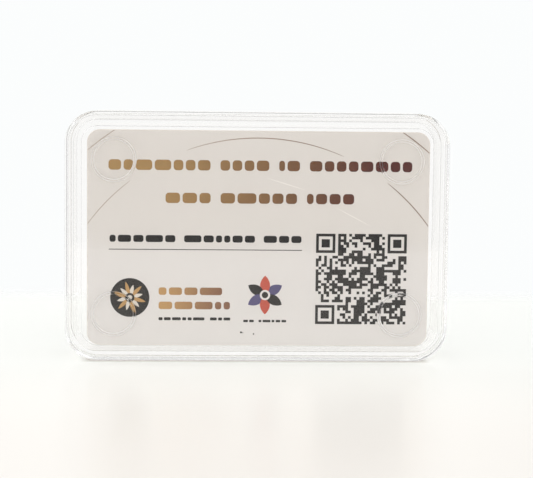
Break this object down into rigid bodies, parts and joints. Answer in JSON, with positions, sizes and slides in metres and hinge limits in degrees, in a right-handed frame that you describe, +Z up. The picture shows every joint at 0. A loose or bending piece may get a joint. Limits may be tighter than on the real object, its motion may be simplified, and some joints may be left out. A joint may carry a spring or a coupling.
{
  "type": "clear display box with printed card",
  "caption": "Clear two-part plastic display box with rounded corners, standing on its long side, with a printed plastic card behind its front panel.",
  "frame": {"origin": "centre of the box's footprint, on the plane that it stands on", "axes": "+X along the width, +Y from the front panel towards the back, +Z up"},
  "size_m": [0.0962, 0.018, 0.0625],
  "materials": {
    "clear_styrene": "clear moulded polystyrene, polished",
    "printed_card": "semi-gloss white PVC card with a warm pale grey print"
  },
  "bodies": {
    "root": {"front_tray": "clear_styrene", "back_cover": "clear_styrene", "certificate_card": "printed_card"}
  },
  "joints": []
}
